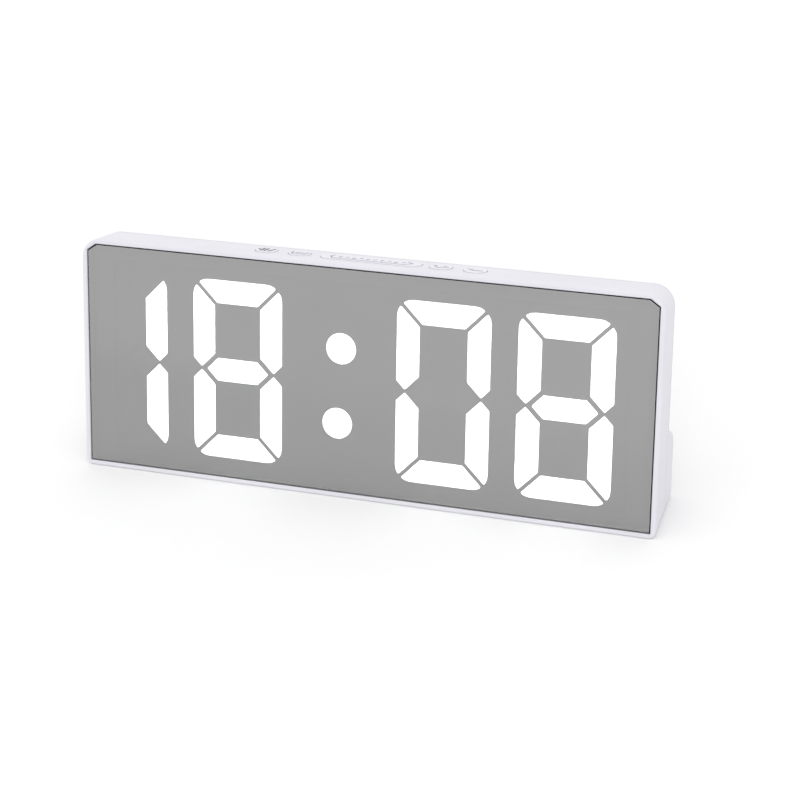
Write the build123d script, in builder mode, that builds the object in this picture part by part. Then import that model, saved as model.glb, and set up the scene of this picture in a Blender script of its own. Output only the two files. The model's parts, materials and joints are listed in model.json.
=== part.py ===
from build123d import *
import os
from math import cos, radians, sin, tan

# A mirror-faced LED clock. Sizes are in millimetres.
#
# The case leans back on its sloped underside. Inside the case, a place is given by three numbers:
#   x      to the right as seen from the front, 0 in the middle
#   depth  straight back from the front rim
#   rise   up along the face from its lower front edge
# The row's own frame has +Z up and its origin in the middle of the face that the clock stands on.

# ---- case ----
LEAN = 17.0
FACE_WIDTH = 162.2
BACK_WIDTH = 160.0
FACE_HEIGHT = 64.0
SLIM_DEPTH = 13.0
FULL_DEPTH = 20.0
WALL = 1.6
TOP_CORNER = 5.5
LOW_CORNER = 2.0
FRONT_ROUND = 0.5
BACK_ROUND = 1.5
BULGE_TOP = 20.6
SHOULDER_RADIUS = 4.2
SHOULDER_TURN = 72.0
STEP_RADIUS = 2.0
PARTING_DEPTH = 11.0
LIP_LENGTH = 1.2
LIP_THICKNESS = 0.8
LIP_GAP = 0.05
SEAM_WIDTH = 0.2
SEAM_DEPTH = 0.2
TRIM = 0.05

# ---- mirror and its seat ----
RIM = 1.4
RIM_BEVEL = 0.25
POCKET_DEPTH = 2.1
LEDGE_THICKNESS = 1.0
LEDGE_WIDTH = 3.0
MIRROR_GAP = 0.3
MIRROR_FRONT = 0.3
MIRROR_BACK = 1.8
CLIP_X = 2.6
CLIP_RISE = 1.8
TAPE_EDGE = 0.06
TAPE_WIDTH = 2.2

# ---- display ----
BLOCK_WIDTH = 150.0
BLOCK_LOW = 5.0
BLOCK_HIGH = 59.0
BLOCK_FRONT = 2.15
BLOCK_BACK = 5.6
DIFFUSER_THICKNESS = 0.9
DIGIT_WIDTH = 25.8
FIRST_DIGIT_WIDTH = 15.6
DIGIT_HEIGHT = 49.2
DIGIT_MIDDLE = 31.0
STROKE = 6.3
SEGMENT_GAP = 0.75
OUTER_RADIUS = 4.4
GAP_TURN = 7.0
MIDDLE_POINT = 2.4
BAR_TIP = 4.0
CORNER_FILLET = 0.35
DIGIT_X = (-64.6, -36.0, 22.3, 55.4)
DIGITS_SHOWN = ("bc", "abcdefg", "abcdef", "abcdefg")
COLON_PLACES = ((-6.2, 40.5), (-7.1, 20.0))
COLON_RADIUS = 4.2

# ---- board and what stands on it ----
BOARD_WIDTH = 150.0
BOARD_LOW = 4.9
BOARD_HIGH = 59.3
BOARD_FRONT = 5.62
BOARD_BACK = 6.6
LED_SIZE = (2.0, 0.6, 1.2)
LED_SPREAD = 5.2
LED_SHARE = 0.36
CHIP_X, CHIP_RISE = 2.0, 41.0
CHIP_BODY = (13.0, 2.1, 7.5)
LEG_PITCH = 1.27
LEG_COUNT = 10
LEG_SIZE = (0.45, 0.96, 1.3)
CRYSTAL_X, CRYSTAL_RISE = 17.0, 45.0
CRYSTAL_RADIUS, CRYSTAL_LENGTH = 1.0, 6.0
RESISTOR_RISE, RESISTOR_COUNT, RESISTOR_PITCH = 50.0, 14, 4.2
RESISTOR_SIZE = (1.0, 0.5, 1.8)
SMALL_CAP_RISE, SMALL_CAP_COUNT, SMALL_CAP_PITCH = 31.0, 5, 5.0
SMALL_CAP_SIZE = (2.0, 0.9, 1.25)
RESERVOIR_X, RESERVOIR_RISE = 34.0, 34.0
RESERVOIR_RADIUS, RESERVOIR_LENGTH = 2.1, 8.0
BUZZER_X, BUZZER_RISE = -46.0, 42.0
BUZZER_RADIUS = 4.5
BUZZER_BACK = 10.9
BUZZER_HOLE = 0.9
SOUND_HOLE, SOUND_RING = 0.7, 2.6
USB_X, USB_RISE = 53.0, 42.0
USB_WIDTH, USB_HEIGHT = 7.6, 2.9
USB_BACK = 12.5
TAB_REACH = 78.6
TAB_RISE = 40.5
TAB_X = 50.0
BOARD_SCREW_RADIUS = 0.8
BOARD_SCREW_PLACES = ((-73.4, 32.0), (73.4, 32.0), (-73.4, 49.0), (73.4, 49.0))

# ---- keys ----
KEY_FRONT = 3.3
KEY_BACK = 8.7
KEY_PROUD = 0.2
KEY_GAP = 0.15
KEY_FILLET = 0.15
FLANGE_THICKNESS = 0.6
FLANGE_EXTRA = 0.7
FLANGE_BACK = 9.4
SMALL_KEY = 6.0
SNOOZE_KEY = 28.0
KEYS = {
    "mode": (-29.2, SMALL_KEY),
    "set": (-19.7, SMALL_KEY),
    "snooze": (0.5, SNOOZE_KEY),
    "up": (19.8, SMALL_KEY),
    "down": (29.2, SMALL_KEY),
}
SWITCH_DEPTH = 8.3
SWITCH_TOP = 58.8
SWITCH_SIZE = (6.0, 3.3, 3.4)
PLUNGER_RADIUS = 1.1
PLUNGER_TOP = 59.6
PLUNGER_LENGTH = 2.0

# ---- battery bay ----
CELL_RADIUS = 5.2
CELL_LENGTH = 44.45
CELL_PITCH = 44.5
CELL_DEPTH = 12.9
CELL_RISE = 14.1
BAY_HALF = 69.5
BAY_FRONT = 7.4
BAY_LOW = 8.6
BAY_HIGH = 19.55
BAY_SEAT = 18.3
BAY_FRONT_WALL = 0.7
BAY_WALL = 1.2
BAY_END_WALL = 1.8
DOOR_HALF = 70.5
DOOR_GAP = 0.2
DOOR_LOW = 8.75
DOOR_HIGH = 19.3
TONGUE_X = 40.0
TONGUE_WIDTH = 6.0
TONGUE_REACH = 1.5
LATCH_REACH = 0.9
LATCH_HALF = 4.0
THUMB_RISE = DOOR_HIGH - 3.2
THUMB_LENGTH, THUMB_WIDTH, THUMB_DEPTH = 16.0, 3.6, 0.7
RIB_COUNT = 6
RIB_PITCH = 2.0
RIB_SIZE = (0.7, 2.2)
NIB_RADIUS = 1.9
NIB_HEIGHT = 0.9
CONTACT_THICKNESS = 0.4
BLADE_DEPTH, BLADE_HEIGHT = 9.0, 8.8
LEAD_RADIUS = 0.55
LEAD_PAD_X, LEAD_PAD_RISE = 65.0, 27.5
LEAD_DEPTH = 9.2
LEAD_RISE = 17.5
TAB_END = 72.2
SPRING_START = 64.8
SPRING_PITCH = 1.1
SPRING_RADIUS = 2.6
SPRING_WIRE = 0.3

# ---- screws ----
SCREW_X = 75.8
SCREW_RISES = (12.0, 57.0)
SCREW_SEAT = 11.4
SCREW_LENGTH = 6.5
SCREW_RADIUS = 1.1
HEAD_RADIUS = 2.1
HEAD_HEIGHT = 1.4
POST_RADIUS = 2.8
POST_END = 9.4
BOSS_RADIUS = 3.0

FOOT = FULL_DEPTH / cos(radians(LEAN))
HEEL = Vector(0, -FOOT / 2, 0)
UP = Vector(0, sin(radians(LEAN)), cos(radians(LEAN)))
BACK = Vector(0, cos(radians(LEAN)), -sin(radians(LEAN)))
CASE = Plane(origin=HEEL, x_dir=(1, 0, 0), z_dir=UP)
LEDGE_BACK = POCKET_DEPTH + LEDGE_THICKNESS
POCKET_WIDTH = FACE_WIDTH - 2 * RIM
POCKET_HEIGHT = FACE_HEIGHT - 2 * RIM
FACE_MIDDLE = FACE_HEIGHT / 2
DOOR_INSIDE = FULL_DEPTH - WALL
TOP_INSIDE = FACE_HEIGHT - WALL
KEY_DEPTH = KEY_BACK - KEY_FRONT
HOLE_DEPTH = KEY_DEPTH + 2 * KEY_GAP
BAY_HEIGHT = BAY_HIGH - BAY_LOW
BAY_MIDDLE = (BAY_LOW + BAY_HIGH) / 2
BIG = 200.0


def face_at(depth):
    """A plane across the case at a depth, facing the front: sketches are (x, rise)."""
    return Plane(origin=HEEL + BACK * depth, x_dir=(1, 0, 0), z_dir=-BACK)


def side_at(x):
    """A plane along the case at an x, facing right: sketches are (depth, rise)."""
    return Plane(origin=HEEL + Vector(x, 0, 0), x_dir=BACK, z_dir=(1, 0, 0))


def level_at(rise):
    """A plane across the case at a rise, facing its top: sketches are (x, depth)."""
    return CASE.offset(rise)


def save(part, name):
    part.label = name
    export_step(part, f"parts/{name}.step")
    print(f"{name:22} {part.volume:10.1f} mm3, {len(part.solids())} solids")


def outline_form(inset):
    """The front outline drawn in by inset and carried back to full depth with the mould's draft."""
    with BuildPart() as form:
        for depth, width in ((0, FACE_WIDTH), (FULL_DEPTH, BACK_WIDTH)):
            low = depth * tan(radians(LEAN)) + inset / cos(radians(LEAN)) - TRIM
            high = FACE_HEIGHT - inset
            with BuildSketch(face_at(depth)) as outline:
                with Locations((0, (low + high) / 2)):
                    Rectangle(width - 2 * inset, high - low)
                fillet(outline.vertices().group_by(Axis.Y)[-1], TOP_CORNER - inset)
                fillet(outline.vertices().group_by(Axis.Y)[0], max(LOW_CORNER - inset, 0.4))
        loft()
        split(bisect_by=Plane.XY.offset(inset), keep=Keep.TOP)
    return form.part


def case_form(inset):
    """The closed form of the case with its bulge, drawn in by inset on every side."""
    with BuildPart() as form:
        add(outline_form(inset))
        with BuildSketch(side_at(0)) as profile:
            with BuildLine():
                bulge = Polyline((0, -BIG), (FULL_DEPTH, -BIG), (FULL_DEPTH, BULGE_TOP))
                shoulder = JernArc(bulge @ 1, (0, 1), SHOULDER_RADIUS, SHOULDER_TURN)
                fall = (shoulder @ 1).X - SLIM_DEPTH
                climb = fall / tan(radians(SHOULDER_TURN))
                step = (SLIM_DEPTH, (shoulder @ 1).Y + climb)
                Polyline(shoulder @ 1, step, (SLIM_DEPTH, BIG), (0, BIG), (0, -BIG))
            make_face()
            fillet(profile.vertices().sort_by_distance(step)[0], STEP_RADIUS)
            if inset:
                offset(amount=-inset, kind=Kind.INTERSECTION)
        extrude(amount=BIG, both=True, mode=Mode.INTERSECT)
    return form.part


def between(form, near, far):
    """The part of a form that lies between two depths."""
    with BuildPart() as piece:
        add(form)
        split(bisect_by=face_at(near), keep=Keep.BOTTOM)
        split(bisect_by=face_at(far), keep=Keep.TOP)
    return piece.part


def depth_of(shape):
    return (shape.center() - HEEL).dot(BACK)


def is_at_back(edge):
    """True for the edges that lie wholly round the cover's back."""
    return all((edge @ end - HEEL).dot(BACK) > SLIM_DEPTH - 0.1 for end in (0, 1))


def rise_of(shape):
    return (shape.center() - HEEL).dot(UP)


def is_crease(edge):
    """True for the lines that run along the bulge's shoulder and step."""
    return abs(edge.center().X) < 1 and BULGE_TOP - 1 < rise_of(edge) < FACE_MIDDLE


def mirror_outline(shrink):
    """The mirror's pocket drawn in by shrink: its upper corners are clipped."""
    half = POCKET_WIDTH / 2 - shrink
    low = RIM + shrink
    high = FACE_HEIGHT - RIM - shrink
    with BuildSketch() as outline:
        with BuildLine():
            Polyline(
                (-half, low),
                (half, low),
                (half, high - CLIP_RISE),
                (half - CLIP_X, high),
                (-half + CLIP_X, high),
                (-half, high - CLIP_RISE),
                close=True,
            )
        make_face()
    return outline.sketch


def outer_corner(half, top, start, end):
    """Three points along a digit's round outer corner, between two turns from straight up."""
    turns = [radians(start + (end - start) * step / 2) for step in range(3)]
    return [
        (half - OUTER_RADIUS * (1 - sin(turn)), top - OUTER_RADIUS * (1 - cos(turn)))
        for turn in turns
    ]


def segment_points(letter, width):
    """Corner points of one segment, from the digit's centre. Segments are lettered a to g."""
    half, top = width / 2, DIGIT_HEIGHT / 2
    inner_x, inner_top = half - STROKE, top - STROKE
    if letter in "ad":
        points = outer_corner(half, top, 0, 45 - GAP_TURN) + [(inner_x - SEGMENT_GAP, inner_top)]
        points += [(-x, y) for x, y in reversed(points)]
    elif letter == "g":
        bar = STROKE / 2
        tip = half - BAR_TIP
        upper = [(tip, 0), (tip - bar, bar), (bar - tip, bar)]
        points = upper + [(-x, -y) for x, y in upper]
    else:
        foot = SEGMENT_GAP * 0.5
        points = outer_corner(half, top, 45 + GAP_TURN, 90)
        points += [
            (half, foot + MIDDLE_POINT),
            (half - MIDDLE_POINT, foot),
            (inner_x, foot + STROKE - MIDDLE_POINT),
            (inner_x, inner_top - SEGMENT_GAP),
        ]
    flip_x = -1 if letter in "ef" else 1
    flip_y = -1 if letter in "cde" else 1
    return [(flip_x * x, flip_y * y) for x, y in points]


def segment_shape(digit, letter):
    """One segment's outline as a sketch, with its corners a little rounded."""
    width = FIRST_DIGIT_WIDTH if digit == 0 else DIGIT_WIDTH
    points = [(DIGIT_X[digit] + x, DIGIT_MIDDLE + y) for x, y in segment_points(letter, width)]
    with BuildSketch() as segment:
        with BuildLine():
            Polyline(*points, close=True)
        make_face()
        fillet(segment.vertices(), CORNER_FILLET)
    return segment.sketch


def segments(shown):
    """The outlines of all the segments that are lit, or of all that are dark."""
    return [
        segment_shape(digit, letter)
        for digit, lit in enumerate(DIGITS_SHOWN)
        for letter in "abcdefg"
        if (letter in lit) == shown
    ]


def segment_leds(digit, letter):
    """Where the two LEDs of a segment stand, as (x, rise)."""
    half = (FIRST_DIGIT_WIDTH if digit == 0 else DIGIT_WIDTH) / 2 - STROKE / 2
    arm = DIGIT_HEIGHT / 2 - STROKE / 2
    if letter in "adg":
        rise = {"a": arm, "d": -arm, "g": 0}[letter]
        places = [(side * LED_SHARE * half, rise) for side in (-1, 1)]
    else:
        x = half if letter in "bc" else -half
        middle = DIGIT_HEIGHT / 4 if letter in "bf" else -DIGIT_HEIGHT / 4
        places = [(x, middle + side * LED_SPREAD) for side in (-1, 1)]
    return [(DIGIT_X[digit] + x, DIGIT_MIDDLE + y) for x, y in places]


def lip_ring():
    """The lip inside the front frame that lines the cover up with it."""
    front = PARTING_DEPTH - LIP_LENGTH
    root = PARTING_DEPTH + LIP_LENGTH
    with BuildPart() as ring:
        add(between(outline_form(WALL + LIP_GAP), front, PARTING_DEPTH))
        add(between(outline_form(WALL - 0.1), PARTING_DEPTH, root))
        add(between(outline_form(WALL + LIP_GAP + LIP_THICKNESS), front - 1, root + 1), mode=Mode.SUBTRACT)
    return ring.part


def seam_ring():
    """A shallow groove round the case, where the frame meets the cover."""
    with BuildPart() as ring:
        add(between(outline_form(-WALL), PARTING_DEPTH - SEAM_WIDTH, PARTING_DEPTH))
        add(outline_form(SEAM_DEPTH), mode=Mode.SUBTRACT)
    return ring.part


def four_corners():
    """The places of the cover's four screws, as (x, rise)."""
    return [(side * SCREW_X, rise) for side in (-1, 1) for rise in SCREW_RISES]


os.makedirs("parts", exist_ok=True)

# ---- front frame ----
with BuildPart() as front_frame:
    add(between(case_form(0), -1, PARTING_DEPTH))
    fillet([e for e in front_frame.edges() if abs(depth_of(e)) < 0.01], FRONT_ROUND)
    add(seam_ring(), mode=Mode.SUBTRACT)
    add(between(outline_form(WALL), LEDGE_BACK, FULL_DEPTH), mode=Mode.SUBTRACT)
    with BuildSketch(face_at(0)):
        add(mirror_outline(0))
    extrude(amount=-POCKET_DEPTH, mode=Mode.SUBTRACT)
    for depth, shrink in ((0, -RIM_BEVEL), (RIM_BEVEL, 0)):
        with BuildSketch(face_at(depth)):
            add(mirror_outline(shrink))
    loft(mode=Mode.SUBTRACT)
    with BuildSketch(face_at(0)):
        with Locations((0, FACE_MIDDLE)):
            RectangleRounded(POCKET_WIDTH - 2 * LEDGE_WIDTH, POCKET_HEIGHT - 2 * LEDGE_WIDTH, 1.5)
    extrude(amount=-LEDGE_BACK, mode=Mode.SUBTRACT)
    for side in (-1, 1):
        with BuildSketch(face_at(POCKET_DEPTH)):
            for rise in SCREW_RISES:
                with Locations((side * SCREW_X, rise)):
                    Circle(POST_RADIUS)
                with Locations((side * (SCREW_X + POST_RADIUS + 0.6), rise)):
                    Rectangle(2.4, 1.2)
        extrude(amount=POCKET_DEPTH - POST_END)
    with BuildSketch(face_at(POST_END)):
        with Locations(*four_corners()):
            Circle(SCREW_RADIUS + 0.05)
    extrude(amount=SCREW_LENGTH - (SCREW_SEAT - POST_END) + 0.4, mode=Mode.SUBTRACT)
    with BuildSketch(level_at(FACE_HEIGHT)):
        for x, length in KEYS.values():
            with Locations((x, (KEY_FRONT + KEY_BACK) / 2)):
                RectangleRounded(length + 2 * KEY_GAP, HOLE_DEPTH, HOLE_DEPTH / 2 - 0.1)
    extrude(amount=-2 * WALL, mode=Mode.SUBTRACT)
save(front_frame.part, "front_frame")

# ---- rear cover ----
with BuildPart() as rear_cover:
    add(between(case_form(0), PARTING_DEPTH, FULL_DEPTH + 1))
    fillet([e for e in rear_cover.edges() if is_at_back(e) and not is_crease(e)], BACK_ROUND)
    add(between(case_form(WALL), PARTING_DEPTH - 1, FULL_DEPTH), mode=Mode.SUBTRACT)
    add(lip_ring())
    with BuildSketch(face_at(BAY_FRONT - BAY_FRONT_WALL)):
        with Locations((0, BAY_MIDDLE)):
            Rectangle(2 * (BAY_HALF + BAY_END_WALL), BAY_HEIGHT + 2 * BAY_WALL)
    extrude(amount=BAY_FRONT - BAY_FRONT_WALL - BAY_SEAT - 0.4)
    for rise, boss_end in zip(SCREW_RISES, (FULL_DEPTH - WALL / 2, SLIM_DEPTH - WALL / 2)):
        with BuildSketch(face_at(POST_END + 0.1)):
            with Locations((-SCREW_X, rise), (SCREW_X, rise)):
                Circle(BOSS_RADIUS)
        extrude(amount=POST_END + 0.1 - boss_end)
    with BuildSketch(face_at(BAY_FRONT)):
        with Locations((0, BAY_MIDDLE)):
            Rectangle(2 * BAY_HALF, BAY_HEIGHT)
    extrude(amount=BAY_FRONT - BAY_SEAT, mode=Mode.SUBTRACT)
    with BuildSketch(face_at(BAY_SEAT)):
        with Locations((0, BAY_MIDDLE)):
            Rectangle(2 * (DOOR_HALF + DOOR_GAP), BAY_HEIGHT)
    extrude(amount=BAY_SEAT - FULL_DEPTH - 1, mode=Mode.SUBTRACT)
    for x in (-TONGUE_X, TONGUE_X):
        with BuildSketch(side_at(x)):
            with Locations((DOOR_INSIDE - 0.95, BAY_LOW - 0.45)):
                Rectangle(1.9, 1.1)
        extrude(amount=TONGUE_WIDTH / 2 + 0.4, both=True, mode=Mode.SUBTRACT)
    with BuildSketch(side_at(0)):
        with Locations((LEAD_DEPTH, LEAD_RISE)):
            Rectangle(2.0, 2.2)
    extrude(amount=BAY_HALF + BAY_END_WALL + 0.5, both=True, mode=Mode.SUBTRACT)
    with BuildSketch(face_at(FULL_DEPTH + 1)):
        with Locations(*four_corners()):
            Circle(HEAD_RADIUS + 0.2)
    extrude(amount=SCREW_SEAT - FULL_DEPTH - 1, dir=BACK, mode=Mode.SUBTRACT)
    with BuildSketch(face_at(SCREW_SEAT + 0.1)):
        with Locations(*four_corners()):
            Circle(SCREW_RADIUS + 0.2)
    extrude(amount=SCREW_SEAT - POST_END, mode=Mode.SUBTRACT)
    with BuildSketch(face_at(SLIM_DEPTH + 1)):
        with Locations((USB_X, USB_RISE)):
            RectangleRounded(USB_WIDTH + 0.5, USB_HEIGHT + 0.5, 0.8)
        with Locations((BUZZER_X, BUZZER_RISE)):
            Circle(SOUND_HOLE)
            with PolarLocations(SOUND_RING, 6):
                Circle(SOUND_HOLE)
    extrude(amount=2 * WALL + 1, mode=Mode.SUBTRACT)
    with BuildSketch(face_at(SLIM_DEPTH + 1)):
        with Locations((USB_X, USB_RISE)):
            RectangleRounded(USB_WIDTH + 3.6, USB_HEIGHT + 3.2, 1.8)
    extrude(amount=1.6, mode=Mode.SUBTRACT)
save(rear_cover.part, "rear_cover")

# ---- battery door, hinged on its lower tongues ----
with BuildPart() as battery_door:
    with BuildSketch(face_at(FULL_DEPTH)):
        with Locations((0, (DOOR_LOW + DOOR_HIGH) / 2)):
            RectangleRounded(2 * DOOR_HALF, DOOR_HIGH - DOOR_LOW, 0.5)
    extrude(amount=WALL)
    with BuildSketch(face_at(FULL_DEPTH)):
        with Locations((0, THUMB_RISE)):
            SlotOverall(THUMB_LENGTH, THUMB_WIDTH)
    extrude(amount=THUMB_DEPTH, mode=Mode.SUBTRACT)
    with BuildSketch(face_at(FULL_DEPTH)):
        with Locations((0, THUMB_RISE)):
            with GridLocations(RIB_PITCH, 1.0, RIB_COUNT, 1):
                Rectangle(*RIB_SIZE)
    extrude(amount=THUMB_DEPTH + 0.2)
    for x in (-TONGUE_X, TONGUE_X):
        with BuildSketch(side_at(x)):
            with BuildLine():
                Polyline(
                    (DOOR_INSIDE - TONGUE_REACH, BAY_LOW - 0.7),
                    (DOOR_INSIDE - 0.2, BAY_LOW - 0.7),
                    (DOOR_INSIDE - 0.2, DOOR_LOW),
                    (DOOR_INSIDE + 0.1, DOOR_LOW + 0.3),
                    (DOOR_INSIDE + 0.1, DOOR_LOW + 1.8),
                    (DOOR_INSIDE - TONGUE_REACH, DOOR_LOW + 1.0),
                    close=True,
                )
            make_face()
        extrude(amount=TONGUE_WIDTH / 2, both=True)
    with BuildSketch(side_at(0)):
        with BuildLine():
            Polyline(
                (DOOR_INSIDE + 0.1, DOOR_HIGH - 2.0),
                (DOOR_INSIDE - LATCH_REACH, DOOR_HIGH - 1.0),
                (DOOR_INSIDE - LATCH_REACH, DOOR_HIGH - 0.3),
                (DOOR_INSIDE + 0.1, DOOR_HIGH - 0.1),
                close=True,
            )
        make_face()
    extrude(amount=LATCH_HALF, both=True)
save(battery_door.part, "battery_door")

# ---- mirror panel and the tape behind it ----
with BuildPart() as mirror_panel:
    with BuildSketch(face_at(MIRROR_FRONT)) as outline:
        add(mirror_outline(MIRROR_GAP))
        fillet(outline.vertices(), 0.5)
    extrude(amount=MIRROR_FRONT - MIRROR_BACK)
save(mirror_panel.part, "mirror_panel")

with BuildPart() as mirror_tape:
    with BuildSketch(face_at(MIRROR_BACK)):
        add(mirror_outline(TAPE_EDGE))
        with Locations((0, FACE_MIDDLE)):
            inner_width = POCKET_WIDTH - 2 * TAPE_WIDTH
            RectangleRounded(inner_width, POCKET_HEIGHT - 2 * TAPE_WIDTH, 1.0, mode=Mode.SUBTRACT)
    extrude(amount=MIRROR_BACK - POCKET_DEPTH)
save(mirror_tape.part, "mirror_tape")

# ---- light block and diffusers ----
with BuildPart() as reflector_frame:
    with BuildSketch(face_at(BLOCK_FRONT)):
        with Locations((0, (BLOCK_LOW + BLOCK_HIGH) / 2)):
            RectangleRounded(BLOCK_WIDTH, BLOCK_HIGH - BLOCK_LOW, 1.0)
    extrude(amount=BLOCK_FRONT - BLOCK_BACK)
    with BuildSketch(face_at(LEDGE_BACK + 0.05)):
        with Locations((0, TAB_RISE)):
            Rectangle(2 * TAB_REACH, 8.0)
        for x in (-TAB_X, TAB_X):
            with Locations((x, (TOP_INSIDE - 0.6 + 3.9) / 2)):
                Rectangle(8.0, TOP_INSIDE - 0.6 - 3.9)
    extrude(amount=LEDGE_BACK + 0.05 - BLOCK_BACK)
    with BuildSketch(face_at(0)):
        add(segments(True))
        add(segments(False))
        with Locations(*COLON_PLACES):
            Circle(COLON_RADIUS)
        with Locations(*four_corners()):
            Circle(POST_RADIUS + 0.3)
    extrude(amount=-BOARD_BACK, mode=Mode.SUBTRACT)
    with BuildSketch(face_at(BLOCK_BACK)):
        with Locations(*BOARD_SCREW_PLACES):
            Circle(BOARD_SCREW_RADIUS + 0.05)
    extrude(amount=2.8, mode=Mode.SUBTRACT)
save(reflector_frame.part, "reflector_frame")

with BuildPart() as digit_segments_lit:
    with BuildSketch(face_at(BLOCK_FRONT)):
        add(segments(True))
    extrude(amount=-DIFFUSER_THICKNESS)
save(digit_segments_lit.part, "digit_segments_lit")

with BuildPart() as digit_segments_dark:
    with BuildSketch(face_at(BLOCK_FRONT)):
        add(segments(False))
    extrude(amount=-DIFFUSER_THICKNESS)
save(digit_segments_dark.part, "digit_segments_dark")

with BuildPart() as colon_dots:
    with BuildSketch(face_at(BLOCK_FRONT)):
        with Locations(*COLON_PLACES):
            Circle(COLON_RADIUS)
    extrude(amount=-DIFFUSER_THICKNESS)
save(colon_dots.part, "colon_dots")

# ---- main board ----
with BuildPart() as main_board:
    with BuildSketch(face_at(BOARD_FRONT)):
        with Locations((0, (BOARD_LOW + BOARD_HIGH) / 2)):
            RectangleRounded(BOARD_WIDTH, BOARD_HIGH - BOARD_LOW, 1.0)
        with Locations(*four_corners()):
            Circle(POST_RADIUS + 0.3, mode=Mode.SUBTRACT)
        with Locations(*BOARD_SCREW_PLACES):
            Circle(BOARD_SCREW_RADIUS + 0.15, mode=Mode.SUBTRACT)
    extrude(amount=BOARD_FRONT - BOARD_BACK)
save(main_board.part, "main_board")

with BuildPart() as led_chips:
    with BuildSketch(face_at(BOARD_FRONT)):
        for digit in range(len(DIGIT_X)):
            for letter in "abcdefg":
                with Locations(*segment_leds(digit, letter)):
                    Rectangle(LED_SIZE[0], LED_SIZE[2])
        with Locations(*COLON_PLACES):
            Rectangle(LED_SIZE[0], LED_SIZE[2])
    extrude(amount=LED_SIZE[1])
save(led_chips.part, "led_chips")

with BuildPart(CASE) as driver_chip:
    with Locations((CHIP_X, BOARD_BACK + 1.2, CHIP_RISE)):
        Box(*CHIP_BODY)
    for side in (-1, 1):
        with Locations((CHIP_X, BOARD_BACK + 0.5, CHIP_RISE + side * 4.35)):
            with GridLocations(LEG_PITCH, 1, LEG_COUNT, 1):
                Box(*LEG_SIZE)
save(driver_chip.part, "driver_chip")

with BuildPart(CASE) as clock_crystal:
    with Locations((CRYSTAL_X, BOARD_BACK + 1.1, CRYSTAL_RISE)):
        Cylinder(CRYSTAL_RADIUS, CRYSTAL_LENGTH, rotation=(0, 90, 0))
    for side in (-1, 1):
        with Locations((CRYSTAL_X - 3.6, BOARD_BACK + 1.1, CRYSTAL_RISE + side * 0.4)):
            Box(1.4, 0.3, 0.3)
        with Locations((CRYSTAL_X - 4.15, BOARD_BACK + 0.6, CRYSTAL_RISE + side * 0.4)):
            Box(0.3, 1.1, 0.3)
save(clock_crystal.part, "clock_crystal")

with BuildPart(CASE) as chip_resistors:
    with Locations((0, BOARD_BACK + 0.3, RESISTOR_RISE)):
        with GridLocations(RESISTOR_PITCH, 1, RESISTOR_COUNT, 1):
            Box(*RESISTOR_SIZE)
save(chip_resistors.part, "chip_resistors")

with BuildPart(CASE) as chip_capacitors:
    with Locations((CHIP_X, BOARD_BACK + 0.5, SMALL_CAP_RISE)):
        with GridLocations(SMALL_CAP_PITCH, 1, SMALL_CAP_COUNT, 1):
            Box(*SMALL_CAP_SIZE)
save(chip_capacitors.part, "chip_capacitors")

with BuildPart(CASE) as reservoir_capacitor:
    with Locations((RESERVOIR_X, BOARD_BACK + 2.2, RESERVOIR_RISE)):
        Cylinder(RESERVOIR_RADIUS, RESERVOIR_LENGTH, rotation=(0, 90, 0))
    fillet(reservoir_capacitor.edges(), 0.4)
save(reservoir_capacitor.part, "reservoir_capacitor")

with BuildPart() as buzzer:
    with BuildSketch(face_at(BOARD_BACK + 0.02)):
        with Locations((BUZZER_X, BUZZER_RISE)):
            Circle(BUZZER_RADIUS)
    extrude(amount=BOARD_BACK + 0.02 - BUZZER_BACK)
    with BuildSketch(face_at(BUZZER_BACK)):
        with Locations((BUZZER_X, BUZZER_RISE)):
            Circle(BUZZER_HOLE)
    extrude(amount=1.5, mode=Mode.SUBTRACT)
save(buzzer.part, "buzzer")

# ---- power inlet ----
with BuildPart() as usb_socket:
    with BuildSketch(face_at(BOARD_BACK + 0.02)):
        with Locations((USB_X, USB_RISE)):
            RectangleRounded(USB_WIDTH, USB_HEIGHT, 0.7)
    extrude(amount=BOARD_BACK + 0.02 - USB_BACK)
    with BuildSketch(face_at(USB_BACK)):
        with Locations((USB_X, USB_RISE)):
            RectangleRounded(USB_WIDTH - 0.6, USB_HEIGHT - 0.6, 0.45)
    extrude(amount=USB_BACK - BOARD_BACK - 1.0, mode=Mode.SUBTRACT)
save(usb_socket.part, "usb_socket")

with BuildPart() as usb_tongue:
    with BuildSketch(face_at(BOARD_BACK + 1.0)):
        with Locations((USB_X, USB_RISE + 0.3)):
            Rectangle(4.6, 0.6)
    extrude(amount=BOARD_BACK + 1.0 - USB_BACK + 0.7)
save(usb_tongue.part, "usb_tongue")

# ---- switches and keys ----
with BuildPart(CASE) as switch_bodies:
    for x, _ in KEYS.values():
        with Locations((x, SWITCH_DEPTH, SWITCH_TOP - SWITCH_SIZE[2] / 2)):
            Box(*SWITCH_SIZE)
        with Locations((x, SWITCH_DEPTH, SWITCH_TOP)):
            Cylinder(PLUNGER_RADIUS + 0.05, 3.2, mode=Mode.SUBTRACT)
save(switch_bodies.part, "switch_bodies")

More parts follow.
